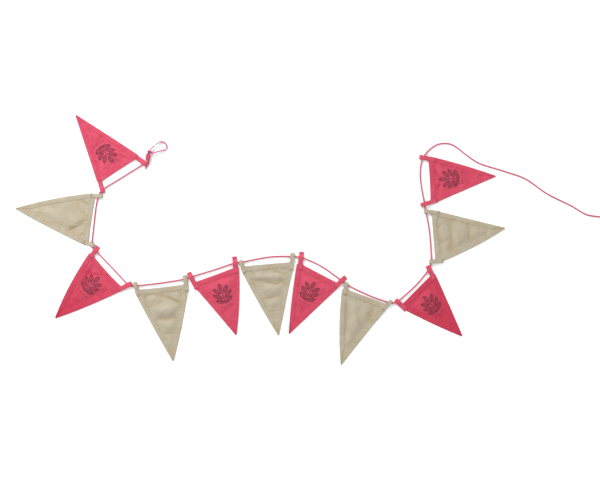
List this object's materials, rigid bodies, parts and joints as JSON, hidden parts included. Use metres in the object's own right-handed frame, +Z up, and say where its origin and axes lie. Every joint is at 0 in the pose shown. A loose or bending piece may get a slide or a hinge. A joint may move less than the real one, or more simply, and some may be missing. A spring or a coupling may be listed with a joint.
{
  "type": "fabric bunting",
  "caption": "Hemmed triangular cloth pennants in two colours, tabbed onto one cord with a small snap hook at one end and a stopper knot at the other.",
  "frame": {"origin": "middle of the footprint of the laid-out pennants, tabs and hook, on the surface they lie on", "axes": "+Z up from the surface, +X to the right of the picture along the bunting's longest side, +Y to the picture's top"},
  "size_m": [1.8215, 0.7496, 0.0132],
  "materials": {
    "pink_cloth": "matt woven cotton, coral pink",
    "beige_cloth": "matt woven linen, warm beige",
    "pink_cord": "braided cord, matt pink",
    "pink_anodised": "anodised pink, satin",
    "bare_aluminium": "bare, satin"
  },
  "bodies": {
    "bunting": {"pennant_01": "pink_cloth", "pennant_02": "beige_cloth", "pennant_03": "pink_cloth", "pennant_04": "beige_cloth", "pennant_05": "pink_cloth", "pennant_06": "beige_cloth", "pennant_07": "pink_cloth", "pennant_08": "beige_cloth", "pennant_09": "pink_cloth", "pennant_10": "beige_cloth", "pennant_11": "pink_cloth", "tab_01_a": "pink_cloth", "tab_01_b": "pink_cloth", "tab_02_a": "beige_cloth", "tab_02_b": "beige_cloth", "tab_03_a": "pink_cloth", "tab_03_b": "pink_cloth", "tab_04_a": "beige_cloth", "tab_04_b": "beige_cloth", "tab_05_a": "pink_cloth", "tab_05_b": "pink_cloth", "tab_06_a": "beige_cloth", "tab_06_b": "beige_cloth", "tab_07_a": "pink_cloth", "tab_07_b": "pink_cloth", "tab_08_a": "beige_cloth", "tab_08_b": "beige_cloth", "tab_09_a": "pink_cloth", "tab_09_b": "pink_cloth", "tab_10_a": "beige_cloth", "tab_10_b": "beige_cloth", "tab_11_a": "pink_cloth", "tab_11_b": "pink_cloth", "cord": "pink_cord", "hook_knot": "pink_cord", "knot_bight": "pink_cord", "knot_stub": "pink_cord", "stopper_knot": "pink_cord", "tail_tip": "pink_cord", "hook_body": "pink_anodised", "hook_pin": "bare_aluminium"},
    "gate": {"hook_gate": "bare_aluminium"}
  },
  "joints": [
    {"name": "gate_hinge", "type": "hinge", "parent": "bunting", "child": "gate", "pos_m": [-0.32371, 0.27493, 0.00573], "axis": [-0.0811, -0.0239, -0.9964], "range_deg": [0, 35], "stiffness_Nm_per_rad": 0.004, "springref_deg": -20.05}
  ]
}
